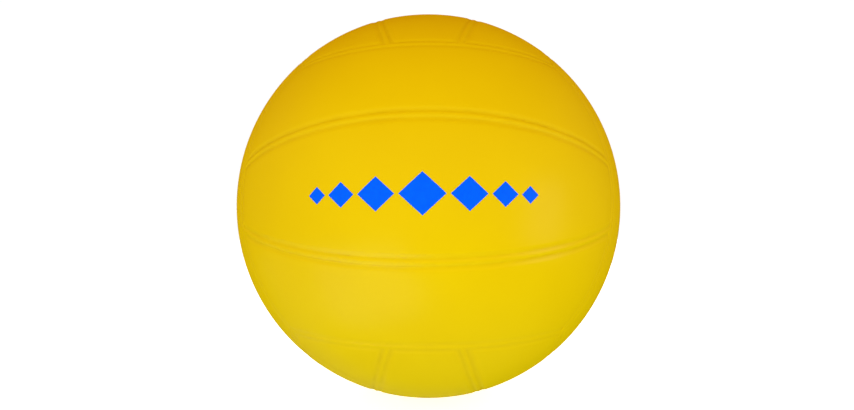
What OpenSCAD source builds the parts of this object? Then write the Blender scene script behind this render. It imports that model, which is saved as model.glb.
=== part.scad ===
// Volleyball: eighteen cover panels laid between the ribs of a rubber carcass,
// over a thread winding and an air bladder with a needle valve.
// Origin at the centre of the ball. The front face looks along -Y, and the valve sits on +Y.

/* [Ball] */
// Outside diameter of the inflated ball
ball_d = 210; // [190:1:230]

/* [Panel layout] */
// Width of a face of three strips, over the surface at mid length
face_width = 133; // [122:1:150]
// Width of a middle strip, over the surface at mid length
middle_width = 56; // [44:1:66]
// Width of a middle strip, straight across its ends
middle_end_width = 30; // [20:1:40]

/* [Seams] */
// Width of the rib that stands between two panels
rib_width = 2.6; // [1.8:0.1:5]
// How far the top of a rib lies below the panels
rib_drop = 0.1; // [0:0.05:0.4]
// Lean of the walls between ribs and panels, in degrees
wall_draft = 8; // [4:1:14]
// Radius of the rounded lip round each panel
lip_radius = 1.3; // [0.6:0.1:1.6]

/* [Layers] */
// Thickness of a cover panel
panel_thickness = 2; // [1.8:0.1:4]
// Thickness of the carcass under the panels
carcass_thickness = 0.6; // [0.4:0.1:2]
// Thickness of the thread winding
winding_thickness = 0.4; // [0.3:0.1:1]
// Thickness of the bladder wall
bladder_thickness = 0.6; // [0.4:0.1:1.5]
// Glue line between bonded faces
glue_line = 0.1; // [0.05:0.05:0.2]

/* [Valve] */
// How far the face of the valve lies below the ball's surface
valve_recess = 0.4; // [0.2:0.1:1]
// Diameter of the needle hole in the plug
needle_hole_d = 2.2; // [1.6:0.1:2.6]
// Diameter of the funnel that leads the needle in
funnel_d = 3.6; // [3:0.1:4.4]
// Depth of the funnel
funnel_depth = 1; // [0.5:0.1:2]
// Diameter of the plug's stem
plug_d = 5.6; // [5:0.1:7]
// Length of the plug from its face to its inner end
plug_length = 16; // [12:0.5:20]
// How far the plug's head stands out beyond its stem all round
head_shoulder = 0.7; // [0.4:0.1:1.2]
// Thickness of the plug's head
head_thickness = 1.5; // [1:0.1:3]
// Running clearance round the plug
plug_clearance = 0.05; // [0.02:0.01:0.1]
// Wall of the valve housing round the plug's head
neck_wall = 1; // [0.7:0.1:2]
// How far the housing reaches in past the plug
housing_tail = 1; // [0.5:0.5:4]
// How far the bonded flange reaches out beyond the neck
flange_rim = 12; // [6:1:20]
// Thickness of the flange
flange_thickness = 1.2; // [0.8:0.1:2]
// Bevel on the outer edges of the valve's pieces
valve_bevel = 0.4; // [0.2:0.1:0.6]

/* [Hidden] */
$fn = 160;
cover_yellow = "#f2c905";
rib_yellow = "#e8bd05";
thread_white = "#e6e1d2";
butyl_black = "#26262a";
plug_black = "#3a3a3e";

// Radii of the layers, from the surface inwards
ball_r = ball_d / 2;
rib_top_r = ball_r - rib_drop;
panel_in_r = ball_r - panel_thickness;
carcass_r = panel_in_r - glue_line;
carcass_in_r = carcass_r - carcass_thickness;
winding_r = carcass_in_r - glue_line;
winding_in_r = winding_r - winding_thickness;
bladder_r = winding_in_r - glue_line;
bladder_in_r = bladder_r - bladder_thickness;
flange_r = bladder_in_r - glue_line;

// Seam layout on a sphere of radius 1. Every seam is a circle, given by its axis and its cone angle.
// An edge seam is a face's own long side: it crosses the face's middle at edge_angle and ends at the
// corners of a cube, where three edge seams meet.
corner = 1 / sqrt(3);
edge_angle = arc_angle(face_width / 2);
edge_tilt = atan2(sin(edge_angle) - corner, cos(edge_angle) - corner);
edge_cone = 90 - edge_angle + edge_tilt;
// A strip seam parts a middle strip from its neighbour, and ends on the edge seams of the next faces
strip_angle = arc_angle(middle_width / 2);
end_across = middle_end_width / 2 / ball_r;
edge_plane = cos(edge_cone) / cos(edge_tilt);
edge_slope = tan(edge_tilt);
end_along = (-edge_plane * edge_slope + sqrt((1 + pow(edge_slope, 2)) * (1 - pow(end_across, 2))
    - pow(edge_plane, 2))) / (1 + pow(edge_slope, 2));
end_out = edge_plane + edge_slope * end_along;
strip_tilt = atan2(sin(strip_angle) - end_across, cos(strip_angle) - end_out);
strip_cone = 90 - strip_angle + strip_tilt;

// Each face: its name, the turn that brings the front face there, and its strips' names
FACES = [
    ["front", [0, 0, 0], ["upper", "middle", "lower"]],
    ["back", [0, 0, 180], ["upper", "middle", "lower"]],
    ["top", [-90, 0, 90], ["left", "middle", "right"]],
    ["bottom", [90, 0, 90], ["right", "middle", "left"]],
    ["right", [90, -90, 0], ["front", "middle", "back"]],
    ["left", [-90, -90, 0], ["back", "middle", "front"]],
];
VALVE_PANEL = "back_middle_panel";
PANELS = [for (face = FACES) for (strip = [0:2]) panel_name(face, strip)];

// Valve sizes, along an axis that runs out from the ball's centre
plug_r = plug_d / 2;
head_r = plug_r + head_shoulder;
head_bore_r = head_r + plug_clearance;
neck_r = head_bore_r + neck_wall;
valve_hole_r = neck_r + glue_line;
valve_face = ball_r - valve_recess;
head_seat = valve_face - head_thickness - plug_clearance;
plug_end = valve_face - plug_length;
housing_end = plug_end - housing_tail;

// How far cutting tools reach past what they cut
cut_past = 1;
// How far a lip's circle stands above the panel, so that it meets the surface at a clear angle
lip_rise = 0.05;

function arc_angle(length) = length / ball_r * 180 / PI;
function panel_name(face, strip) = str(face[0], "_", face[2][strip], "_panel");
function polar(radius, angle) = [radius * sin(angle), radius * cos(angle)];

module shell(outer, inner) {
    difference() {
        sphere(outer);
        sphere(inner);
    }
}

// Half section of all that lies on a panel's side of a seam. Its wall starts at the given angle on the
// ball's surface and leans so that the panel narrows inwards. The side is 1 where the panel lies
// outside the seam's cone and -1 where it lies inside.
module panel_side(wall, side) {
    axis = side > 0 ? 180 : 0;
    lean = wall - side * wall_draft;
    apex = [0, ball_r * (cos(wall) - sin(wall) / tan(lean))];
    outer = polar(ball_r, wall) + polar(ball_r, lean);
    fan = [for (step = [1:3]) polar(ball_r * 2, wall + (axis - wall) * step / 3)];
    polygon(concat([apex, outer], fan));
}

// Half section of what a panel's rounded lip leaves off
module lip_corner(wall, side) {
    centre = [side * lip_radius, ball_r - lip_radius + lip_rise];
    rotate(-wall)
        difference() {
            translate([side > 0 ? -cut_past : -lip_radius, centre[1]])
                square([lip_radius + cut_past, ball_r * 2]);
            translate(centre)
                circle(lip_radius);
        }
}

// The panel's side of a seam, trimmed back by a gap measured over the surface from the seam's middle
module beside_seam(cone, side, gap, has_lip) {
    wall = cone + side * arc_angle(gap);
    rotate_extrude()
        difference() {
            panel_side(wall, side);
            if (has_lip)
                lip_corner(wall, side);
        }
}

// One strip's share of a layer, cut out along the four seams round it. The strips are 0 to 2 across the face.
module strip_block(face, strip, outer, inner, gap, has_lip) {
    is_middle = strip == 1;
    rotate(face[1])
        rotate([0, strip == 2 ? 180 : 0, 0])
            intersection() {
                shell(outer, inner);
                rotate([90, 0, edge_tilt])
                    beside_seam(edge_cone, -1, gap, has_lip);
                rotate([90, 180, -edge_tilt])
                    beside_seam(edge_cone, -1, gap, has_lip);
                rotate([-strip_tilt, 0, 0])
                    beside_seam(strip_cone, is_middle ? 1 : -1, gap, has_lip);
                rotate(is_middle ? [180 + strip_tilt, 0, 0] : [-edge_tilt, 0, 0])
                    beside_seam(is_middle ? strip_cone : edge_cone, 1, gap, has_lip);
            }
}

module valve_hole() {
    rotate([-90, 0, 0])
        cylinder(r = valve_hole_r, h = ball_r + cut_past);
}

module panel(face, strip) {
    color(cover_yellow)
        difference() {
            strip_block(face, strip, ball_r, panel_in_r, rib_width / 2 + glue_line, true);
            if (panel_name(face, strip) == VALVE_PANEL)
                valve_hole();
        }
}

module carcass() {
    color(rib_yellow)
        difference() {
            shell(rib_top_r, carcass_in_r);
            for (face = FACES)
                for (strip = [0:2])
                    strip_block(face, strip, ball_r + cut_past, carcass_r, rib_width / 2, false);
            valve_hole();
        }
}

module winding() {
    color(thread_white)
        difference() {
            shell(winding_r, winding_in_r);
            valve_hole();
        }
}

module bladder() {
    color(butyl_black)
        difference() {
            shell(bladder_r, bladder_in_r);
            valve_hole();
        }
}

module housing_flange() {
    difference() {
        intersection() {
            shell(flange_r, flange_r - flange_thickness);
            cylinder(r = neck_r + flange_rim, h = ball_r);
        }
        cylinder(r = neck_r - neck_wall / 2, h = ball_r);
    }
}

module valve_housing() {
    bore_r = plug_r + plug_clearance;
    color(butyl_black)
        rotate([-90, 0, 0]) {
            rotate_extrude()
                polygon([
                    [bore_r, housing_end],
                    [neck_r - valve_bevel, housing_end],
                    [neck_r, housing_end + valve_bevel],
                    [neck_r, valve_face - valve_bevel],
                    [neck_r - valve_bevel, valve_face],
                    [head_bore_r, valve_face],
                    [head_bore_r, head_seat],
                    [bore_r, head_seat],
                ]);
            housing_flange();
        }
}

module valve_plug() {
    head_under = head_seat + plug_clearance;
    color(plug_black)
        rotate([-90, 0, 0])
            rotate_extrude()
                polygon([
                    [needle_hole_d / 2, plug_end],
                    [plug_r - valve_bevel, plug_end],
                    [plug_r, plug_end + valve_bevel],
                    [plug_r, head_under],
                    [head_r, head_under],
                    [head_r, valve_face],
                    [funnel_d / 2, valve_face],
                    [needle_hole_d / 2, valve_face - funnel_depth],
                ]);
}

for (face = FACES)
    for (strip = [0:2])
        panel(face, strip);
carcass();
winding();
bladder();
valve_housing();
valve_plug();
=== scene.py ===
import math
from collections import namedtuple

import bmesh
import bpy
import numpy as np
from bpy.props import FloatProperty, FloatVectorProperty, PointerProperty
from bpy.types import Operator, Panel, PropertyGroup
from mathutils import Matrix, Vector


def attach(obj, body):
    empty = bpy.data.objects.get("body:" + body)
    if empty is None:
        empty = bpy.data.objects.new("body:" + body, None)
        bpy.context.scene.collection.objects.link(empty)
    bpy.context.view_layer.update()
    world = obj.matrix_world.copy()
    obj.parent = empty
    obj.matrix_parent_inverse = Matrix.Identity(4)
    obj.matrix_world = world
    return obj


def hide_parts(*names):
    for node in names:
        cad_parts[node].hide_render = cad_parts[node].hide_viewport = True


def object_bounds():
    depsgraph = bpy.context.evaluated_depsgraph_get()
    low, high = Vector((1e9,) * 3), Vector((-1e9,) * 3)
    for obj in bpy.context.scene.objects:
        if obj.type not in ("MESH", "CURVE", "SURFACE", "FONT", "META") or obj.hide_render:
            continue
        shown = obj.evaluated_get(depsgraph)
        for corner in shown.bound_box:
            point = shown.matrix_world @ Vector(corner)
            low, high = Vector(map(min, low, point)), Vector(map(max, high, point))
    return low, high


bl_info = {
    "name": "Volleyball",
    "version": (1, 0, 0),
    "blender": (4, 5, 0),
    "location": "3D View > Sidebar > Volleyball",
    "description": "Dresses a volleyball's frame with moulded panels, ribs, a valve and a print",
    "category": "Object",
}

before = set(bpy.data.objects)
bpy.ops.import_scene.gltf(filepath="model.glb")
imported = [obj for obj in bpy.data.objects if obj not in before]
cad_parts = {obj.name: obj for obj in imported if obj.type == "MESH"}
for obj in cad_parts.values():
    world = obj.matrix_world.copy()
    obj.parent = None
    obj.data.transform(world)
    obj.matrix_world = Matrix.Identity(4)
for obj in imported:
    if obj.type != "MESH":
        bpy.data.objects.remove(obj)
CAD_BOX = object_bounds()
BALL_DIAMETER = round(max(CAD_BOX[1] - CAD_BOX[0]), 3)

# Width of the image that the camera frames, in pixels
IMAGE_WIDTH = 854
# Width of the camera's sensor, in millimetres
SENSOR_WIDTH = 36
# Nearest distance that the camera shows, in metres
NEAR_CLIP = 0.01

# Each face: its name, where its own X, Y and Z axes point, and its strips' names from its own top down.
# In its own axes a face looks along -Y, and its strips run along X.
FACES = (
    ("front", ((1, 0, 0), (0, 1, 0), (0, 0, 1)), ("upper", "middle", "lower")),
    ("back", ((-1, 0, 0), (0, -1, 0), (0, 0, 1)), ("upper", "middle", "lower")),
    ("top", ((0, 1, 0), (0, 0, -1), (-1, 0, 0)), ("left", "middle", "right")),
    ("bottom", ((0, 1, 0), (0, 0, 1), (1, 0, 0)), ("right", "middle", "left")),
    ("right", ((0, 0, 1), (-1, 0, 0), (0, -1, 0)), ("front", "middle", "back")),
    ("left", ((0, 0, 1), (1, 0, 0), (0, 1, 0)), ("back", "middle", "front")),
)
STRIPS = range(3)
UPPER, MIDDLE, LOWER = STRIPS
VALVE_PANEL = "back_middle_panel"
VALVE_FACE = "back"

# A face's own middle planes, as a normal and an offset: the one across its strips and the one along them
ACROSS = (1, 0, 0, 0)
ALONG = (0, 0, 1, 0)

# A panel lies on the outer side of some seams' cones and on the inner side of others
OUTSIDE = 1
INSIDE = -1

# Steps over a rounded edge
EDGE_STEPS = 8
# Lines of points across and along a panel, between its rounded edges
PANEL_ROWS = 14
PANEL_COLUMNS = 48
# Lines of points across a pocket of the carcass, between its walls
POCKET_ROWS = 8
# How far from a hole's middle the squares give way to rings, in radii of the hole
HOLE_REACH = 2
# Glue lines between the underside of the panels and the valve's flange
GLUE_LINES = 4
# Points round a turned piece
TURN_STEPS = 128
# Lines of points along each side of a printed diamond
DIAMOND_STEPS = 10
# Heights of the printed diamonds from left to right, as shares of the largest
DIAMOND_HEIGHTS = (0.42, 0.6, 0.8, 1.0, 0.8, 0.6, 0.42)
# Faces that meet at more than this angle keep a sharp edge between them
SHARP_ANGLE = math.radians(40)
# Points closer than this are one point
WELD_DISTANCE = 1e-6

# Sockets of a Mix node that hold its two colours and their mix
MIX_FIRST, MIX_SECOND, MIX_RESULT = 6, 7, 2

# Sizes of the clouds, patches and grain in the materials, in metres
COVER_CLOUDS = 0.05
GROOVE_PATCHES = 0.012
COVER_SCUFFS = 0.008
COVER_RIPPLE = 0.006
COVER_GRAIN = 0.0004
INK_MOTTLE = 0.0012
RUBBER_GRAIN = 0.0003
TALC_CLOUDS = 0.02
HOUSING_DUST = 0.002
PLUG_DUST = 0.0015
PAPER_FIBRES = 0.002
# Heights of the relief in the materials, in metres
RIPPLE_HEIGHT = 0.00002
GRAIN_HEIGHT = 0.000012
MOTTLE_HEIGHT = 0.000008
RUBBER_HEIGHT = 0.00001
THREAD_HEIGHT = 0.0002
# How much of the groove tone, part dust and part painted shade, lies in the grooves, where it is thinnest
# and thickest
GROOVE_DUST_AND_SHADE = (0.05, 0.3)
# How far scuffs and mottle take a roughness below and above its value
SCUFF_SPREAD = (-0.04, 0.05)
MOTTLE_SPREAD = (-0.05, 0.05)
# Roughness of rubber and of paper, where it is least and most
RUBBER_ROUGHNESS = (0.55, 0.75)
PAPER_ROUGHNESS = (0.8, 0.95)
THREAD_ROUGHNESS = 0.85
# Brightness of the deep tones of the ink, and of the painted shade between the thread's strands, as shares
# of their colours
INK_DEEP = 0.86
THREAD_GAP_SHADE = 0.6
# The slants that the thread is wound at, as turns about X, Y and Z, and its strands' scale and waver
THREAD_SLANTS = ((0.2, 0.5, 0.1), (1.1, -0.4, 0.9), (-0.8, 0.7, 2.1))
STRAND_SCALE = 320.0
STRAND_WAVER = 0.6

# How high the tones of the surround lie: the sine of their height over the horizon
SURROUND_RISES = (-1, -0.5, -0.05, 0.5, 0.72, 1)
# Radius of the round floor in metres, and its sides
FLOOR_RADIUS = 12
FLOOR_SIDES = 96
# The soft lights, with places and sizes in metres and power in watts.
# A sheen is only mirrored in the cover and doesn't light it.
Softbox = namedtuple("Softbox", "name place width height power rgb is_sheen")
SOFTBOXES = (
    Softbox("front_light", (0.0, -1.2, -0.35), 0.9, 0.7, 10.0, (0.815, 1.0, 1.0), False),
    Softbox("back_light", (0.3, 1.1, 0.35), 0.9, 0.7, 5.0, (0.95, 1.0, 1.0), False),
    Softbox("left_sheen", (-0.37, -0.46, -0.52), 0.7, 0.55, 6.0, (1.0, 1.0, 1.0), True),
    Softbox("far_left_sheen", (-0.66, -0.02, -0.42), 0.6, 0.45, 1.05, (1.0, 1.0, 1.0), True),
    Softbox("right_sheen", (0.70, -0.38, -0.08), 0.3, 0.4, 2.0, (1.0, 1.0, 1.0), True),
    Softbox("under_sheen", (-0.29, 0.58, -0.63), 0.95, 0.45, 1.05, (1.0, 1.0, 1.0), True),
)


def length(name, description, default):
    """A size in metres."""
    return FloatProperty(name=name, description=description, default=default, unit="LENGTH", precision=5)


def angle(name, description, degrees):
    """An angle, given in degrees."""
    radians = math.radians(degrees)
    return FloatProperty(name=name, description=description, default=radians, unit="ROTATION")


def colour(name, description, default):
    """A colour, given as a hexadecimal sRGB code."""
    return FloatVectorProperty(
        name=name, description=description, default=linear(default), subtype="COLOR", size=3, min=0, max=1
    )


def share(name, description, default):
    """A number from 0 to 1."""
    return FloatProperty(
        name=name, description=description, default=default, min=0, max=1, subtype="FACTOR"
    )


def linear(code):
    """The linear colour of a hexadecimal sRGB code."""
    parts = [int(code[place:place + 2], 16) / 255 for place in (0, 2, 4)]
    return tuple(part / 12.92 if part <= 0.04045 else ((part + 0.055) / 1.055) ** 2.4 for part in parts)


class VolleyballSizes(PropertyGroup):
    """The sizes of the ball's pieces."""

    ball_diameter: length("Ball", "Outside diameter of the inflated ball", BALL_DIAMETER)
    face_width: length("Face width", "Width of three strips, over the surface at mid length", 0.133)
    middle_width: length("Middle strip", "Width of a middle strip, over the surface at mid length", 0.056)
    middle_end_width: length("Middle end", "Width of a middle strip, straight across its ends", 0.030)
    rib_width: length("Rib", "Width of a rib between two panels, with the glue that fills it out", 0.00276)
    rib_drop: length("Rib drop", "How far the top of a rib lies below the panels", 0.00004)
    land_width: length("Land", "Width of the level top of a rib", 0.0002)
    groove_reach: length("Groove reach", "From a seam's middle to the bottom of each groove", 0.00165)
    lip_reach: length("Lip reach", "From a seam's middle to where a panel's lip begins to fall", 0.0039)
    groove_depth: length("Groove depth", "Depth of the grooves between the strips of a face", 0.00028)
    edge_groove_depth: length("Edge groove depth", "Depth of the fainter grooves round a face", 0.00017)
    seam_clearance: length("Seam clearance", "Hairline between a panel and a rib", 0.00002)
    wall_draft: angle("Wall draft", "Lean of the walls between ribs and panels", 8)
    panel_thickness: length("Panel", "Thickness of a cover panel", 0.002)
    glue_line: length("Glue line", "Room for glue between bonded faces", 0.0001)
    carcass_thickness: length("Carcass", "Thickness of the carcass under the panels", 0.0006)
    winding_thickness: length("Winding", "Thickness of the thread winding", 0.0004)
    bladder_thickness: length("Bladder", "Thickness of the bladder's wall", 0.0006)
    valve_recess: length("Valve recess", "How far the face of the valve lies below the surface", 0.0004)
    valve_lip: length("Valve lip", "Width of the rounded lip round the valve's hole", 0.0006)
    needle_hole: length("Needle hole", "Diameter of the needle hole in the plug", 0.0022)
    funnel: length("Funnel", "Diameter of the funnel that leads the needle in", 0.0036)
    funnel_depth: length("Funnel depth", "Depth of the funnel", 0.001)
    plug_diameter: length("Plug", "Diameter of the plug's stem", 0.0056)
    plug_length: length("Plug length", "Length of the plug from its face to its inner end", 0.016)
    head_shoulder: length("Head shoulder", "How far the plug's head stands out beyond its stem", 0.0007)
    head_thickness: length("Head", "Thickness of the plug's head", 0.0015)
    plug_clearance: length("Plug clearance", "Running clearance round the plug", 0.00005)
    neck_wall: length("Neck wall", "Wall of the housing round the plug's head", 0.001)
    housing_tail: length("Housing tail", "How far the housing reaches in past the plug", 0.001)
    flange_rim: length("Flange rim", "How far the flange reaches out beyond the neck", 0.012)
    flange_thickness: length("Flange", "Thickness of the flange", 0.0012)
    valve_rounding: length("Valve rounding", "Radius of the rounded edges of the valve's pieces", 0.0003)
    print_length: length("Print length", "Length of the printed row of diamonds", 0.090)
    print_height: length("Print height", "Height of the largest diamond", 0.016)
    print_drop: length("Print drop", "How far the print lies below the middle of its strip", 0.0025)
    print_gap: length("Print gap", "Gap between two diamonds", 0.0015)
    ink_thickness: length("Ink", "How far the ink stands out from the panel", 0.00003)


class VolleyballFinish(PropertyGroup):
    """The colours and gloss of the ball's materials."""

    cover: colour("Cover", "Moulded cover of the panels and ribs", "dfb602")
    cover_shade: colour("Cover shade", "Cloudy tone that the cover drifts to", "dcb202")
    # The groove tone is partly dust and partly painted shade, which darkens the bottoms of the grooves where
    # shade falls
    groove: colour("Groove", "Cover in the grooves, where dust settles", "cb9d02")
    cover_roughness: share("Cover roughness", "Roughness of the satin cover", 0.28)
    cover_coat: share("Cover coat", "Weight of the thin coat that gives the cover its sheen", 0.06)
    groove_coat: share("Groove coat", "Weight of the coat in the grooves, which are smoother", 0.1)
    ink: colour("Ink", "Print on the front", "005cf2")
    ink_roughness: share("Ink roughness", "Roughness of the printed ink", 0.47)
    thread: colour("Thread", "Thread wound round the bladder", "e6e1d2")
    butyl: colour("Butyl", "Rubber of the bladder and the valve's housing", "26262a")
    plug: colour("Plug", "Rubber of the plug", "3a3a3e")
    dust: colour("Dust", "Dust and talc on the rubber", "8a8880")
    floor: colour("Floor", "Paper sweep under the ball", "f7f7f5")


class VolleyballStage(PropertyGroup):
    """The camera and the lights."""

    camera_distance: length("Camera distance", "From the ball's middle to the lens", 0.2625)
    camera_azimuth: angle("Camera azimuth", "Turn of the camera towards the ball's right", 1.18)
    camera_elevation: angle("Camera elevation", "Height of the camera over the ball's equator", -3.90)
    camera_roll: angle("Camera roll", "Turn of the camera about its own line of sight", -0.14)
    focal_pixels: FloatProperty(
        name="Focal length", description="Focal length of the lens, in pixels of the image", default=439.7
    )
    shift_right: FloatProperty(
        name="Shift right",
        description="How far right of the image's middle the ball sits, in pixels",
        default=1.48,
    )
    shift_down: FloatProperty(
        name="Shift down",
        description="How far below the image's middle the ball sits, in pixels",
        default=1.15,
    )
    nadir: colour("Nadir", "Surround straight below the ball", "e2fefe")
    below: colour("Below", "Surround below the ball", "2a3232")
    level: colour("Level", "Surround at the height of the ball", "e8e7e7")
    above: colour("Above", "Surround above the ball", "e27878")
    zenith: colour("Zenith", "Surround straight above the ball", "000000")
    surround_strength: FloatProperty(
        name="Surround strength", description="Brightness of the surround's tones", default=1.27
    )
    floor_glow: FloatProperty(name="Floor glow", description="Light that the floor gives off", default=0.9)


Seam = namedtuple("Seam", "axis cone depth side")
Seam.__doc__ = """A circle on a unit sphere: its axis, cone angle, grooves' depth and panel's side."""

Layout = namedtuple("Layout", "edge_tilt edge_cone edge_depth strip_tilt strip_cone strip_depth")
Layout.__doc__ = """The lean of the edge and strip seams' axes, their cone angles and groove depths."""


def seam_layout(sizes):
    """Works out the seams' circles from the widths of the strips."""
    radius = sizes.ball_diameter / 2
    corner = 1 / math.sqrt(3)
    edge_angle = sizes.face_width / 2 / radius
    edge_tilt = math.atan2(math.sin(edge_angle) - corner, math.cos(edge_angle) - corner)
    edge_cone = math.pi / 2 - edge_angle + edge_tilt
    strip_angle = sizes.middle_width / 2 / radius
    end_across = sizes.middle_end_width / 2 / radius
    plane = math.cos(edge_cone) / math.cos(edge_tilt)
    slope = math.tan(edge_tilt)
    steep = 1 + slope ** 2
    end_along = (-plane * slope + math.sqrt(steep * (1 - end_across ** 2) - plane ** 2)) / steep
    end_out = plane + slope * end_along
    strip_tilt = math.atan2(math.sin(strip_angle) - end_across, math.cos(strip_angle) - end_out)
    strip_cone = math.pi / 2 - strip_angle + strip_tilt
    return Layout(edge_tilt, edge_cone, sizes.edge_groove_depth, strip_tilt, strip_cone, sizes.groove_depth)


def level_seam(tilt, cone, depth, up, side):
    """A seam that runs along a strip, above its face's middle where up is 1 and below where it is -1."""
    return Seam(np.array((0, math.sin(tilt), up * math.cos(tilt))), cone, depth, side)


def end_seam(layout, right):
    """The seam at the end of a strip, at its right where right is 1 and at its left where it is -1."""
    axis = np.array((-right * math.sin(layout.edge_tilt), -math.cos(layout.edge_tilt), 0))
    return Seam(axis, layout.edge_cone, layout.edge_depth, INSIDE)


def strip_seams(layout, strip):
    """The seams round a strip of a face: below, above, at its left and at its right."""
    edge = layout[:3]
    inner = layout[3:]
    below_and_above = {
        UPPER: (level_seam(*inner, 1, INSIDE), level_seam(*edge, 1, OUTSIDE)),
        MIDDLE: (level_seam(*inner, -1, OUTSIDE), level_seam(*inner, 1, OUTSIDE)),
        LOWER: (level_seam(*edge, -1, OUTSIDE), level_seam(*inner, -1, INSIDE)),
    }
    return (*below_and_above[strip], end_seam(layout, -1), end_seam(layout, 1))


def seam_line(seam, inset):
    """The circle at an arc inset on the panel's side of a seam, as a plane's normal and offset."""
    return -seam.side * np.append(seam.axis, -math.cos(seam.cone + seam.side * inset))


def seam_distance(seam, points):
    """The arc from a seam to points on its panel's side."""
    return seam.side * (np.arccos(points @ seam.axis) - seam.cone)


def planes_through(points, first, last):
    """Planes that fan out from one plane to another, each through one of the points."""
    from_first = points @ first[:3] + first[3]
    from_last = points @ last[:3] + last[3]
    part = (from_first / (from_first + from_last))[:, None]
    return (1 - part) * first - part * last


def lines_between(first, last, insets, count, level):
    """Planes from a seam to the one opposite: at the insets from each, and more spread evenly on a level."""
    start = [seam_line(first, inset) for inset in insets]
    end = [seam_line(last, inset) for inset in reversed(insets)]
    near, far = crossings(np.array([start[-1], end[0]]), np.array([level]))[:, 0]
    turn = math.acos(near @ far)
    part = np.linspace(0, turn, count + 2)[1:-1, None]
    points = (np.sin(turn - part) * near + np.sin(part) * far) / math.sin(turn)
    return np.array([*start, *planes_through(points, start[-1], end[0]), *end])


def lines_through(points, first, last, count):
    """Planes through points in a row between two seams, level with each seam for as many as count."""
    start = [seam_line(first, seam_distance(first, point)) for point in points[:count]]
    end = [seam_line(last, seam_distance(last, point)) for point in points[-count:]]
    return np.array([*start, *planes_through(points[count:-count], start[-1], end[0]), *end])


def crossings(rows, columns):
    """The points of the unit sphere, on a face that looks along -Y, where two families of planes cross."""
    first, first_offset = rows[:, None, :3], -rows[:, None, 3]
    second, second_offset = columns[None, :, :3], -columns[None, :, 3]
    first_square = (first ** 2).sum(-1)
    second_square = (second ** 2).sum(-1)
    product = (first * second).sum(-1)
    spread = first_square * second_square - product ** 2
    first_part = (first_offset * second_square - second_offset * product) / spread
    second_part = (second_offset * first_square - first_offset * product) / spread
    foot = first_part[..., None] * first + second_part[..., None] * second
    way = np.cross(first, second)
    way *= -np.sign(way[..., 1:2])
    reach = np.sqrt((1 - (foot ** 2).sum(-1)) / spread)
    return foot + reach[..., None] * way


def quarter_turn():
    """Angles round a quarter turn, from its start to its end."""
    return np.linspace(0, math.pi / 2, EDGE_STEPS + 1)


def smooth_rise(distance, start, end):
    """A smooth rise from 0 to 1 between two distances."""
    part = np.clip((distance - start) / (end - start), 0, 1)
    return (1 - np.cos(math.pi * part)) / 2


def groove_drop(distance, depth, sizes):
    """How far a seam and its soft grooves lie below the surface, by the distance from its middle."""
    fall = smooth_rise(distance, sizes.land_width / 2, sizes.groove_reach)
    rise = smooth_rise(distance, sizes.groove_reach, sizes.lip_reach)
    return sizes.rib_drop + (depth - sizes.rib_drop) * fall - depth * rise


class MeshParts:
    """Points and faces of a mesh, gathered sheet by sheet."""

    def __init__(self):
        self.points = []
        self.faces = []
        self.count = 0

    def add_points(self, points):
        """Adds points and gives their numbers in the same arrangement."""
        numbers = self.count + np.arange(points[..., 0].size).reshape(points.shape[:-1])
        self.points.append(points.reshape(-1, 3))
        self.count += numbers.size
        return numbers

    def add_grid(self, numbers, hole=None):
        """Fills a grid of points with squares, apart from those of a block that is left open."""
        squares = np.stack([numbers[:-1, :-1], numbers[1:, :-1], numbers[1:, 1:], numbers[:-1, 1:]], -1)
        kept = np.ones(squares.shape[:2], bool)
        if hole:
            kept[hole] = False
        self.faces.extend(squares[kept].tolist())

    def add_band(self, loop, other):
        """Fills the band between two closed loops of as many points."""
        sides = [loop, np.roll(loop, -1), np.roll(other, -1), other]
        self.faces.extend(np.stack(sides, -1).tolist())


def border(numbers):
    """The closed loop of points round a grid."""
    return np.concatenate([numbers[0, :-1], numbers[:-1, -1], numbers[-1, :0:-1], numbers[:0:-1, 0]])


def hole_block(points, reach):
    """The block of a grid's squares that lies within a reach of the face's middle, as rows and columns."""
    middle_row, middle_column = points.shape[0] // 2, points.shape[1] // 2
    rows = np.flatnonzero(abs(points[:, middle_column, 2]) < reach)
    columns = np.flatnonzero(abs(points[middle_row, :, 0]) < reach)
    return slice(rows[0], rows[-1]), slice(columns[0], columns[-1])


def hole_rings(loop, angles):
    """Rings of points on the unit sphere that close in from a loop on the angles about a face's middle."""
    turn = np.arctan2(loop[:, 2], loop[:, 0])
    loop_angle = np.arccos(-loop[:, 1])
    between = [loop_angle + (angles[0] - loop_angle) * part for part in (1 / 3, 2 / 3)]
    rings = []
    for ring_angle in (*between, *(np.full_like(turn, ring) for ring in angles)):
        flat = np.sin(ring_angle)
        rings.append(np.stack([flat * np.cos(turn), -np.cos(ring_angle), flat * np.sin(turn)], -1))
    return rings


def add_holed_sheet(parts, directions, radii, block, hole_angles, hole_radii):
    """Adds a sheet with a round hole about its middle, and gives its border and the hole's loop."""
    numbers = parts.add_points(directions * radii[..., None])
    parts.add_grid(numbers, block)
    edge = tuple(slice(side.start, side.stop + 1) for side in block)
    loop = border(numbers[edge])
    around = border(np.arange(radii.size).reshape(radii.shape)[edge])
    start_radii = radii.reshape(-1)[around]
    rings = hole_rings(directions.reshape(-1, 3)[around], hole_angles)
    extra = len(rings) - len(hole_radii)
    for ring, radius in zip(rings, [start_radii] * extra + list(hole_radii)):
        ring_radius = np.broadcast_to(radius, len(ring))
        next_loop = parts.add_points(ring * ring_radius[:, None])
        parts.add_band(loop, next_loop)
        loop = next_loop
    return border(numbers), loop


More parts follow.
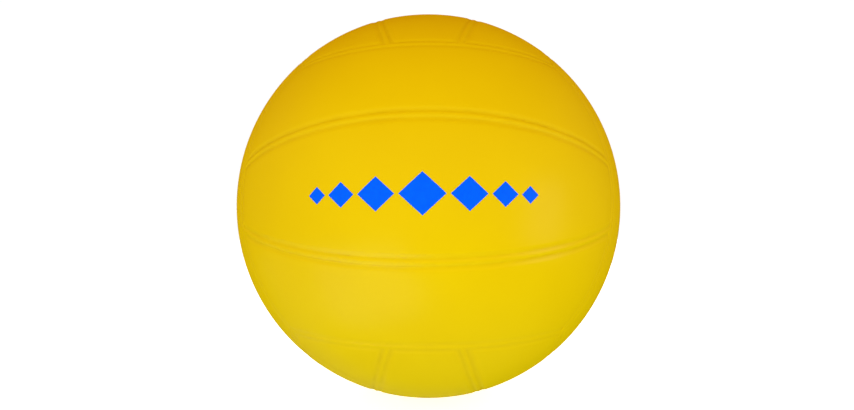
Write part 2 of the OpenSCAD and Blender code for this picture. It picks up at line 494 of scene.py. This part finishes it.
def make_piece(name, parts, material, axes=None):
    """Makes an object of gathered points and faces, turned so that its own axes point as given."""
    points = np.concatenate(parts.points)
    if axes is not None:
        points = points @ np.array(axes, float)
    mesh = bpy.data.meshes.new(name)
    mesh.from_pydata(points.tolist(), [], parts.faces)
    shape = bmesh.new()
    shape.from_mesh(mesh)
    bmesh.ops.delete(shape, geom=[v for v in shape.verts if not v.link_faces], context="VERTS")
    bmesh.ops.remove_doubles(shape, verts=shape.verts, dist=WELD_DISTANCE)
    bmesh.ops.recalc_face_normals(shape, faces=shape.faces)
    shape.to_mesh(mesh)
    shape.free()
    mesh.shade_smooth()
    mesh.set_sharp_from_angle(angle=SHARP_ANGLE)
    mesh.materials.append(material)
    piece = bpy.data.objects.new(name, mesh)
    bpy.context.scene.collection.objects.link(piece)
    return piece


def add_node(tree, kind, inputs=None, **settings):
    """Adds a shader node and fills its sockets with values or with links from other sockets."""
    node = tree.nodes.new("ShaderNode" + kind)
    for key, value in settings.items():
        setattr(node, key, value)
    for key, value in (inputs or {}).items():
        if isinstance(value, bpy.types.NodeSocket):
            tree.links.new(value, node.inputs[key])
        else:
            node.inputs[key].default_value = value
    return node


def start_material(name):
    """Makes a material that holds only its output, and gives it with its node tree."""
    material = bpy.data.materials.new(name)
    material.use_nodes = True
    material.node_tree.nodes.clear()
    return material, material.node_tree


def end_material(tree, inputs):
    """Closes a material with a principled surface."""
    surface = add_node(tree, "BsdfPrincipled", inputs)
    output = add_node(tree, "OutputMaterial")
    tree.links.new(surface.outputs["BSDF"], output.inputs["Surface"])


def own_place(tree):
    """Places on the piece itself, in metres from the ball's middle."""
    return add_node(tree, "TexCoord").outputs["Object"]


def noise(tree, place, size, detail=2.0, roughness=0.5):
    """Cloudy noise whose clouds are about as large as the size, in metres."""
    inputs = {"Vector": place, "Scale": 1 / size, "Detail": detail, "Roughness": roughness}
    return add_node(tree, "TexNoise", inputs).outputs["Fac"]


def spread(tree, value, low, high, from_low=0.3, from_high=0.7):
    """Stretches a value over a range of numbers."""
    inputs = {"Value": value, "From Min": from_low, "From Max": from_high, "To Min": low, "To Max": high}
    return add_node(tree, "MapRange", inputs).outputs["Result"]


def mixed(tree, factor, first, second):
    """A mix of two colours."""
    inputs = {"Factor": factor, MIX_FIRST: first, MIX_SECOND: second}
    return add_node(tree, "Mix", inputs, data_type="RGBA").outputs[MIX_RESULT]


def multiplied(tree, first, second):
    """The product of two values."""
    return add_node(tree, "Math", {0: first, 1: second}, operation="MULTIPLY").outputs["Value"]


def bumped(tree, height, distance, strength=1.0, normal=None):
    """A surface raised by a height, over a distance in metres."""
    inputs = {"Height": height, "Distance": distance, "Strength": strength}
    if normal:
        inputs["Normal"] = normal
    return add_node(tree, "Bump", inputs).outputs["Normal"]


def opaque(rgb):
    """A property's colour with full opacity."""
    return (*rgb, 1.0)


def cover_material(name, sizes, finish):
    """Satin moulded plastic: cloudy colour, dusty and shinier grooves, faint ripple and a fine grain."""
    radius = sizes.ball_diameter / 2
    half_down = radius - sizes.groove_depth / 2
    material, tree = start_material(name)
    place = own_place(tree)
    clouds = noise(tree, place, COVER_CLOUDS, detail=3.0)
    tone = mixed(tree, spread(tree, clouds, 0, 1), opaque(finish.cover), opaque(finish.cover_shade))
    height = add_node(tree, "VectorMath", {0: place}, operation="LENGTH").outputs["Value"]
    # Painted shade with dust: the cover turns to the groove tone towards the bottoms of the grooves, in
    # random patches
    groove = spread(tree, height, 1, 0, radius - sizes.groove_depth, half_down)
    patches = spread(tree, noise(tree, place, GROOVE_PATCHES), *GROOVE_DUST_AND_SHADE)
    tone = mixed(tree, multiplied(tree, groove, patches), tone, opaque(finish.groove))
    coat = spread(tree, height, finish.groove_coat, finish.cover_coat, half_down, radius)
    scuffs = noise(tree, place, COVER_SCUFFS, detail=5.0, roughness=0.7)
    roughness = spread(tree, scuffs, *(finish.cover_roughness + part for part in SCUFF_SPREAD))
    ripple = bumped(tree, noise(tree, place, COVER_RIPPLE), RIPPLE_HEIGHT)
    grain = noise(tree, place, COVER_GRAIN, detail=3.0)
    surface = bumped(tree, grain, GRAIN_HEIGHT, strength=0.6, normal=ripple)
    inputs = {
        "Base Color": tone,
        "Roughness": roughness,
        "Specular IOR Level": 0.0,
        "Normal": surface,
        "Coat Weight": coat,
        "Coat Roughness": finish.cover_roughness,
        "Coat Normal": surface,
    }
    end_material(tree, inputs)
    return material


def ink_material(finish):
    """Screen-printed ink, with the faint mottle of the screen."""
    material, tree = start_material("printed_ink")
    place = own_place(tree)
    mottle = noise(tree, place, INK_MOTTLE, detail=4.0)
    deep = tuple(part * INK_DEEP for part in finish.ink)
    tone = mixed(tree, spread(tree, mottle, 0, 1), opaque(finish.ink), opaque(deep))
    roughness = spread(tree, mottle, *(finish.ink_roughness + part for part in MOTTLE_SPREAD))
    inputs = {
        "Base Color": tone,
        "Roughness": roughness,
        "Specular IOR Level": 0.0,
        "Normal": bumped(tree, mottle, MOTTLE_HEIGHT, strength=0.5),
        "Coat Weight": finish.cover_coat,
        "Coat Roughness": finish.ink_roughness,
    }
    end_material(tree, inputs)
    return material


def rubber_material(name, rgb, finish, dust, dust_size):
    """Matt rubber with dust or talc on it."""
    material, tree = start_material(name)
    place = own_place(tree)
    cloud = noise(tree, place, dust_size, detail=6.0, roughness=0.65)
    dusty = spread(tree, cloud, 0, dust, from_low=0.45, from_high=0.75)
    tone = mixed(tree, dusty, opaque(rgb), opaque(finish.dust))
    grain = noise(tree, place, RUBBER_GRAIN, detail=3.0)
    inputs = {
        "Base Color": tone,
        "Roughness": spread(tree, cloud, *RUBBER_ROUGHNESS),
        "Specular IOR Level": 0.35,
        "Normal": bumped(tree, grain, RUBBER_HEIGHT, strength=0.6),
    }
    end_material(tree, inputs)
    return material


def thread_material(finish):
    """Thread wound over and over at many slants."""
    material, tree = start_material("wound_thread")
    place = own_place(tree)
    height = None
    for slant in THREAD_SLANTS:
        turned = add_node(tree, "Mapping", {"Vector": place, "Rotation": slant}).outputs["Vector"]
        inputs = {"Vector": turned, "Scale": STRAND_SCALE, "Distortion": STRAND_WAVER}
        strands = add_node(tree, "TexWave", inputs).outputs["Fac"]
        if height:
            strands = add_node(tree, "Math", {0: height, 1: strands}, operation="MAXIMUM").outputs["Value"]
        height = strands
    # Painted shade: the thread is darker where its strands lie low, between them
    shade = tuple(part * THREAD_GAP_SHADE for part in finish.thread)
    inputs = {
        "Base Color": mixed(tree, height, opaque(shade), opaque(finish.thread)),
        "Roughness": THREAD_ROUGHNESS,
        "Normal": bumped(tree, height, THREAD_HEIGHT),
    }
    end_material(tree, inputs)
    return material


def floor_material(finish, stage):
    """Matt white paper, lit so brightly that it glows."""
    material, tree = start_material("paper_sweep")
    fibres = noise(tree, own_place(tree), PAPER_FIBRES, detail=4.0)
    inputs = {
        "Base Color": opaque(finish.floor),
        "Roughness": spread(tree, fibres, *PAPER_ROUGHNESS),
        "Specular IOR Level": 0.1,
        "Emission Color": opaque(finish.floor),
        "Emission Strength": stage.floor_glow,
    }
    end_material(tree, inputs)
    return material


def panel_insets(sizes):
    """Arc insets from a seam's middle to the lines round a panel's lip, in metres."""
    slope = math.tan(sizes.wall_draft)
    wall = sizes.rib_width / 2 + sizes.seam_clearance + sizes.groove_depth * slope
    return np.linspace(wall, sizes.lip_reach, EDGE_STEPS + 1)


def panel_grid(seams, insets, radius):
    """Directions of a panel's points, as rows from below to above and columns from left to right."""
    below, above, left, right = seams
    arcs = list(insets / radius)
    rows = lines_between(below, above, arcs, PANEL_ROWS, ACROSS)
    columns = lines_between(left, right, arcs, PANEL_COLUMNS, ALONG)
    return crossings(rows, columns)


def panel_parts(seams, sizes, has_valve):
    """A cover panel: its lipped outer face, its inner face and the walls between them."""
    radius = sizes.ball_diameter / 2
    inner_radius = radius - sizes.panel_thickness
    insets = panel_insets(sizes)
    outer = panel_grid(seams, insets, radius)
    drops = [groove_drop(seam_distance(seam, outer) * radius, seam.depth, sizes) for seam in seams]
    drop = sizes.groove_depth * (1 - np.prod(1 - np.array(drops) / sizes.groove_depth, axis=0))
    wall_run = (sizes.panel_thickness - sizes.groove_depth) * math.tan(sizes.wall_draft)
    inner = panel_grid(seams, insets + wall_run, radius)
    outer_radii = radius - drop
    inner_radii = np.full(inner.shape[:2], inner_radius)
    parts = MeshParts()
    if not has_valve:
        outside = parts.add_points(outer * outer_radii[..., None])
        inside = parts.add_points(inner * inner_radii[..., None])
        parts.add_grid(outside)
        parts.add_grid(inside)
        parts.add_band(border(outside), border(inside))
        return parts
    hole = valve_radii(sizes).hole
    block = hole_block(outer, HOLE_REACH * hole / radius)
    lip = sizes.valve_lip * (1 - np.sin(quarter_turn()))
    lip_radii = radius - sizes.valve_lip * (1 - np.cos(quarter_turn()))
    outside, rim = add_holed_sheet(parts, outer, outer_radii, block, (hole + lip) / radius, lip_radii)
    inside, foot = add_holed_sheet(
        parts, inner, inner_radii, block, [hole / inner_radius], [inner_radius]
    )
    parts.add_band(outside, inside)
    parts.add_band(rim, foot)
    return parts


def rib_profile(sizes, depth):
    """A rib's half section: distances out from its middle, and the radius of the carcass there."""
    radius = sizes.ball_diameter / 2
    slope = math.tan(sizes.wall_draft)
    floor_drop = sizes.panel_thickness + sizes.glue_line
    wall_top = sizes.rib_width / 2 + sizes.groove_depth * slope
    wall_foot = sizes.rib_width / 2 + floor_drop * slope
    top = np.linspace(0, wall_top, EDGE_STEPS + 1)
    distances = np.concatenate([top, [wall_foot, sizes.lip_reach]])
    drops = np.concatenate([groove_drop(top, depth, sizes), [floor_drop] * 2])
    return distances, radius - drops


def carcass_grid(layout, sizes):
    """Directions and radii of a face of the carcass, whose lines run on into the faces round it."""
    radius = sizes.ball_diameter / 2
    distances, _radii = rib_profile(sizes, sizes.groove_depth)
    arcs = list(distances / radius)
    strips = [strip_seams(layout, strip) for strip in reversed(STRIPS)]
    rows = [lines_between(*seams[:2], arcs, POCKET_ROWS, ACROSS) for seams in strips]
    left, right = strips[0][2:]
    # Where the rows of all three strips end at the right is, turned, where the columns start along the top
    every_row = np.concatenate([rows[0], rows[1][1:], rows[2][1:]])
    ends = crossings(every_row, seam_line(right, 0)[None])[:, 0]
    along_top = np.stack([ends[:, 2], -ends[:, 0], -ends[:, 1]], -1)
    columns = lines_through(along_top, left, right, len(arcs))
    directions, heights = [], []
    for seams, strip_rows in zip(strips, rows):
        points = crossings(strip_rows, columns)
        ribs = []
        for seam in seams:
            distance = seam_distance(seam, points) * radius
            ribs.append(np.interp(distance, *rib_profile(sizes, seam.depth)))
        directions.append(points[bool(directions):])
        heights.append(np.max(ribs, axis=0)[bool(heights):])
    return np.concatenate(directions), np.concatenate(heights)


def carcass_parts(sizes):
    """The carcass: ribs and pockets outside, a round wall inside and the valve's hole through both."""
    directions, radii = carcass_grid(seam_layout(sizes), sizes)
    floor = sizes.ball_diameter / 2 - sizes.panel_thickness - sizes.glue_line
    inner_radius = floor - sizes.carcass_thickness
    inner_radii = np.full_like(radii, inner_radius)
    hole = valve_radii(sizes).hole
    block = hole_block(directions, HOLE_REACH * hole / floor)
    parts = MeshParts()
    for face, axes, _names in FACES:
        turned = MeshParts()
        if face == VALVE_FACE:
            _edge, rim = add_holed_sheet(turned, directions, radii, block, [hole / floor], [floor])
            _edge, foot = add_holed_sheet(
                turned, directions, inner_radii, block, [hole / inner_radius], [inner_radius]
            )
            turned.add_band(rim, foot)
        else:
            turned.add_grid(turned.add_points(directions * radii[..., None]))
            turned.add_grid(turned.add_points(directions * inner_radii[..., None]))
        start = parts.count
        parts.add_points(np.concatenate(turned.points) @ np.array(axes, float))
        parts.faces.extend((np.array(turned.faces) + start).tolist())
    return parts


ValveRadii = namedtuple("ValveRadii", "plug head head_bore bore neck hole flange")
ValveRadii.__doc__ = """Radii of the valve's pieces about its own axis."""


def valve_radii(sizes):
    """Works out the valve's radii from the plug outwards."""
    plug = sizes.plug_diameter / 2
    head = plug + sizes.head_shoulder
    head_bore = head + sizes.plug_clearance
    neck = head_bore + sizes.neck_wall
    bore = plug + sizes.plug_clearance
    return ValveRadii(plug, head, head_bore, bore, neck, neck + sizes.glue_line, neck + sizes.flange_rim)


ValveHeights = namedtuple("ValveHeights", "face seat plug_end housing_end flange_top flange_under")
ValveHeights.__doc__ = """Distances of the valve's faces from the ball's middle, and a flange's radii."""


def valve_heights(sizes):
    """Works out where the valve's faces lie along its axis."""
    face = sizes.ball_diameter / 2 - sizes.valve_recess
    plug_end = face - sizes.plug_length
    under_panel = sizes.ball_diameter / 2 - sizes.panel_thickness
    layers = sizes.carcass_thickness + sizes.winding_thickness + sizes.bladder_thickness
    flange_top = under_panel - layers - GLUE_LINES * sizes.glue_line
    return ValveHeights(
        face,
        face - sizes.head_thickness - sizes.plug_clearance,
        plug_end,
        plug_end - sizes.housing_tail,
        flange_top,
        flange_top - sizes.flange_thickness,
    )


def rounded_outline(corners, steps=5):
    """A closed outline with its corners rounded, where a corner is a point and the radius of its round."""
    outline = []
    for place, (point, radius) in enumerate(corners):
        point = np.array(point)
        if not radius:
            outline.append(point)
            continue
        before = np.array(corners[place - 1][0]) - point
        after = np.array(corners[(place + 1) % len(corners)][0]) - point
        before = before / np.linalg.norm(before)
        after = after / np.linalg.norm(after)
        half = math.acos(np.clip(before @ after, -1, 1)) / 2
        start = point + before * radius / math.tan(half)
        middle = (before + after) / np.linalg.norm(before + after)
        centre = point + middle * radius / math.sin(half)
        for part in np.linspace(0, 1, steps + 1):
            way = start + (after - before) * part * radius / math.tan(half) - centre
            outline.append(centre + way / np.linalg.norm(way) * radius)
    return np.array(outline)


def turned_parts(outline):
    """A ring-shaped solid: a closed outline of radii and heights, turned about the valve's axis."""
    turn = np.linspace(0, 2 * math.pi, TURN_STEPS, endpoint=False)[:, None]
    radii, heights = outline[None, :, 0], outline[None, :, 1]
    points = np.stack([radii * np.cos(turn), heights + 0 * turn, radii * np.sin(turn)], -1)
    parts = MeshParts()
    numbers = parts.add_points(points)
    for ring, next_ring in zip(numbers, np.roll(numbers, -1, axis=0)):
        parts.add_band(ring, next_ring)
    return parts


def flange_arc(sphere_radius, first, last, steps=6):
    """Points along a domed flange, from one radius about the valve's axis to another."""
    radii = np.linspace(first, last, steps)
    return [((radius, math.sqrt(sphere_radius ** 2 - radius ** 2)), 0) for radius in radii]


def housing_outline(sizes):
    """The valve housing's half section: its neck, its domed flange and its stepped bore."""
    radii = valve_radii(sizes)
    heights = valve_heights(sizes)
    soft = sizes.valve_rounding
    corners = [
        ((radii.bore, heights.housing_end), soft / 2),
        ((radii.neck, heights.housing_end), soft),
        *flange_arc(heights.flange_under, radii.neck, radii.flange),
        *flange_arc(heights.flange_top, radii.flange, radii.neck),
        ((radii.neck, heights.face), soft),
        ((radii.head_bore, heights.face), soft / 3),
        ((radii.head_bore, heights.seat), 0),
        ((radii.bore, heights.seat), 0),
    ]
    return rounded_outline(corners)


def plug_outline(sizes):
    """The plug's half section: its stem, its head and its funnelled needle hole."""
    radii = valve_radii(sizes)
    heights = valve_heights(sizes)
    soft = sizes.valve_rounding
    needle = sizes.needle_hole / 2
    corners = [
        ((needle, heights.plug_end), soft / 2),
        ((radii.plug, heights.plug_end), soft),
        ((radii.plug, heights.seat + sizes.plug_clearance), 0),
        ((radii.head, heights.seat + sizes.plug_clearance), soft / 2),
        ((radii.head, heights.face), soft),
        ((sizes.funnel / 2, heights.face), soft),
        ((needle, heights.face - sizes.funnel_depth), soft),
    ]
    return rounded_outline(corners)


def print_parts(sizes):
    """A row of diamonds, largest in the middle, that follows the ball's curve."""
    radius = sizes.ball_diameter / 2
    heights = np.array(DIAMOND_HEIGHTS) * sizes.print_height
    room = sizes.print_length - sizes.print_gap * (len(heights) - 1)
    widths = heights * room / heights.sum()
    left = -sizes.print_length / 2
    along, up = np.meshgrid(*[np.linspace(0, 1, DIAMOND_STEPS)] * 2, indexing="ij")
    parts = MeshParts()
    for width, height in zip(widths, heights):
        turn = (left + width / 2 + (along - up) * width / 2) / radius
        rise = ((along + up - 1) * height / 2 - sizes.print_drop) / radius
        flat = np.cos(rise)
        directions = np.stack([np.sin(turn) * flat, -np.cos(turn) * flat, np.sin(rise)], -1)
        top = parts.add_points(directions * (radius + sizes.ink_thickness))
        under = parts.add_points(directions * (radius - sizes.ink_thickness))
        parts.add_grid(top)
        parts.add_grid(under)
        parts.add_band(border(top), border(under))
        left += width + sizes.print_gap
    return parts


class VOLLEYBALL_OT_cover_panels(Operator):
    """Make the eighteen cover panels"""

    bl_idname = "volleyball.cover_panels"
    bl_label = "Cover panels"

    def execute(self, context):
        sizes = context.scene.volleyball_sizes
        material = cover_material("moulded_cover", sizes, context.scene.volleyball_finish)
        layout = seam_layout(sizes)
        for face, axes, names in FACES:
            for strip in STRIPS:
                node = f"{face}_{names[strip]}_panel"
                parts = panel_parts(strip_seams(layout, strip), sizes, node == VALVE_PANEL)
                piece = make_piece(f"{face}_{names[strip]}_cover", parts, material, axes)
                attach(piece, "ball")
                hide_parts(node)
        return {"FINISHED"}


class VOLLEYBALL_OT_carcass(Operator):
    """Make the carcass, whose ribs show between the panels"""

    bl_idname = "volleyball.carcass"
    bl_label = "Ribbed carcass"

    def execute(self, context):
        sizes = context.scene.volleyball_sizes
        material = cover_material("moulded_ribs", sizes, context.scene.volleyball_finish)
        piece = make_piece("ribbed_carcass", carcass_parts(sizes), material)
        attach(piece, "ball")
        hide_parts("carcass")
        return {"FINISHED"}


class VOLLEYBALL_OT_inner_layers(Operator):
    """Finish the winding and the bladder, which keep their own shapes"""

    bl_idname = "volleyball.inner_layers"
    bl_label = "Inner layers"

    def execute(self, context):
        finish = context.scene.volleyball_finish
        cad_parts["winding"].material_slots[0].material = thread_material(finish)
        talc = rubber_material("talced_butyl", finish.butyl, finish, dust=0.5, dust_size=TALC_CLOUDS)
        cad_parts["bladder"].material_slots[0].material = talc
        return {"FINISHED"}


class VOLLEYBALL_OT_valve(Operator):
    """Make the valve's housing and the plug that pulls out of it"""

    bl_idname = "volleyball.valve"
    bl_label = "Valve"

    def execute(self, context):
        sizes = context.scene.volleyball_sizes
        finish = context.scene.volleyball_finish
        butyl = rubber_material("housing_rubber", finish.butyl, finish, dust=0.25, dust_size=HOUSING_DUST)
        housing = make_piece("valve_neck", turned_parts(housing_outline(sizes)), butyl)
        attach(housing, "ball")
        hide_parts("valve_housing")
        grey = rubber_material("plug_rubber", finish.plug, finish, dust=0.3, dust_size=PLUG_DUST)
        plug = make_piece("needle_plug", turned_parts(plug_outline(sizes)), grey)
        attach(plug, "valve_plug")
        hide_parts("valve_plug")
        return {"FINISHED"}


class VOLLEYBALL_OT_print(Operator):
    """Print a row of diamonds on the front"""

    bl_idname = "volleyball.front_print"
    bl_label = "Front print"

    def execute(self, context):
        material = ink_material(context.scene.volleyball_finish)
        piece = make_piece("front_print", print_parts(context.scene.volleyball_sizes), material)
        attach(piece, "ball")
        return {"FINISHED"}


def add_softbox(softbox):
    """Adds a soft rectangular light that faces the ball's middle."""
    light = bpy.data.lights.new(softbox.name, "AREA")
    light.shape = "RECTANGLE"
    light.size = softbox.width
    light.size_y = softbox.height
    light.energy = softbox.power
    light.color = softbox.rgb
    # With it, a light would still show in the reflections that it is hidden from
    light.cycles.use_multiple_importance_sampling = False
    box = bpy.data.objects.new(softbox.name, light)
    box.location = softbox.place
    box.rotation_euler = (-Vector(softbox.place)).to_track_quat("-Z", "Y").to_euler()
    box.visible_camera = False
    box.visible_diffuse = not softbox.is_sheen
    box.visible_glossy = softbox.is_sheen
    bpy.context.scene.collection.objects.link(box)


class VOLLEYBALL_OT_stage(Operator):
    """Lay the floor and set the lights and the camera"""

    bl_idname = "volleyball.stage"
    bl_label = "Stage"

    def execute(self, context):
        self.lay_floor(context)
        self.set_lights(context)
        self.set_camera(context)
        return {"FINISHED"}

    def lay_floor(self, context):
        """Lays a wide round sweep of paper just under the ball, which shows but doesn't tint the ball."""
        shape = bmesh.new()
        bmesh.ops.create_circle(shape, cap_ends=True, segments=FLOOR_SIDES, radius=FLOOR_RADIUS)
        bmesh.ops.translate(shape, verts=shape.verts, vec=(0, 0, CAD_BOX[0].z))
        mesh = bpy.data.meshes.new("floor")
        shape.to_mesh(mesh)
        shape.free()
        scene = context.scene
        mesh.materials.append(floor_material(scene.volleyball_finish, scene.volleyball_stage))
        floor = bpy.data.objects.new("floor", mesh)
        floor.visible_diffuse = False
        floor.visible_glossy = False
        floor.visible_shadow = False
        scene.collection.objects.link(floor)

    def set_lights(self, context):
        """Lights the ball from a pale surround and from the softboxes."""
        stage = context.scene.volleyball_stage
        world = bpy.data.worlds.new("pale_surround")
        world.use_nodes = True
        tree = world.node_tree
        tree.nodes.clear()
        direction = add_node(tree, "TexCoord").outputs["Generated"]
        height = add_node(tree, "SeparateXYZ", {"Vector": direction}).outputs["Z"]
        ramp = add_node(tree, "ValToRGB", {"Fac": spread(tree, height, 0, 1, from_low=-1, from_high=1)})
        stops = ramp.color_ramp.elements
        tones = (stage.nadir, stage.below, stage.level, stage.level, stage.above, stage.zenith)
        while len(stops) < len(tones):
            stops.new(0.5)
        for stop, rise, tone in zip(stops, SURROUND_RISES, tones):
            stop.position = (rise + 1) / 2
            stop.color = opaque(tone)
        inputs = {"Color": ramp.outputs["Color"], "Strength": stage.surround_strength}
        background = add_node(tree, "Background", inputs)
        output = add_node(tree, "OutputWorld")
        tree.links.new(background.outputs["Background"], output.inputs["Surface"])
        context.scene.world = world
        world.cycles_visibility.glossy = False
        for softbox in SOFTBOXES:
            add_softbox(softbox)
        context.scene.view_settings.view_transform = "Standard"

    def set_camera(self, context):
        """Sets the camera that frames the ball."""
        stage = context.scene.volleyball_stage
        camera = bpy.data.cameras.new("camera")
        camera.sensor_width = SENSOR_WIDTH
        camera.lens = stage.focal_pixels / IMAGE_WIDTH * SENSOR_WIDTH
        camera.shift_x = -stage.shift_right / IMAGE_WIDTH
        camera.shift_y = stage.shift_down / IMAGE_WIDTH
        camera.clip_start = NEAR_CLIP
        level = math.cos(stage.camera_elevation)
        outward = Vector((
            math.sin(stage.camera_azimuth) * level,
            -math.cos(stage.camera_azimuth) * level,
            math.sin(stage.camera_elevation),
        ))
        eye = bpy.data.objects.new("camera", camera)
        aim = (-outward).to_track_quat("-Z", "Y").to_matrix().to_4x4()
        roll = Matrix.Rotation(stage.camera_roll, 4, "Z")
        eye.matrix_world = Matrix.Translation(outward * stage.camera_distance) @ aim @ roll
        context.scene.collection.objects.link(eye)
        context.scene.camera = eye


class VOLLEYBALL_PT_sidebar(Panel):
    """Lists the ball's pieces, sizes and finishes"""

    bl_idname = "VOLLEYBALL_PT_sidebar"
    bl_label = "Volleyball"
    bl_space_type = "VIEW_3D"
    bl_region_type = "UI"
    bl_category = "Volleyball"

    def draw(self, context):
        for operator in OPERATORS:
            self.layout.operator(operator.bl_idname)
        for group in GROUPS:
            settings = getattr(context.scene, group)
            column = self.layout.column()
            for name in settings.__annotations__:
                column.prop(settings, name)


OPERATORS = (
    VOLLEYBALL_OT_cover_panels,
    VOLLEYBALL_OT_carcass,
    VOLLEYBALL_OT_inner_layers,
    VOLLEYBALL_OT_valve,
    VOLLEYBALL_OT_print,
    VOLLEYBALL_OT_stage,
)
GROUPS = {
    "volleyball_sizes": VolleyballSizes,
    "volleyball_finish": VolleyballFinish,
    "volleyball_stage": VolleyballStage,
}


def register():
    """Registers the settings, the operators and the panel."""
    for name, group in GROUPS.items():
        bpy.utils.register_class(group)
        setattr(bpy.types.Scene, name, PointerProperty(type=group))
    for operator in OPERATORS:
        bpy.utils.register_class(operator)
    bpy.utils.register_class(VOLLEYBALL_PT_sidebar)


def unregister():
    """Takes off all that register put on."""
    bpy.utils.unregister_class(VOLLEYBALL_PT_sidebar)
    for operator in reversed(OPERATORS):
        bpy.utils.unregister_class(operator)
    for name, group in GROUPS.items():
        delattr(bpy.types.Scene, name)
        bpy.utils.unregister_class(group)


def main():
    """Makes the whole ball and its stage, and writes the size of both models."""
    register()
    bpy.ops.volleyball.cover_panels()
    bpy.ops.volleyball.carcass()
    bpy.ops.volleyball.inner_layers()
    bpy.ops.volleyball.valve()
    bpy.ops.volleyball.front_print()
    bpy.ops.volleyball.stage()


if __name__ == "__main__":
    main()
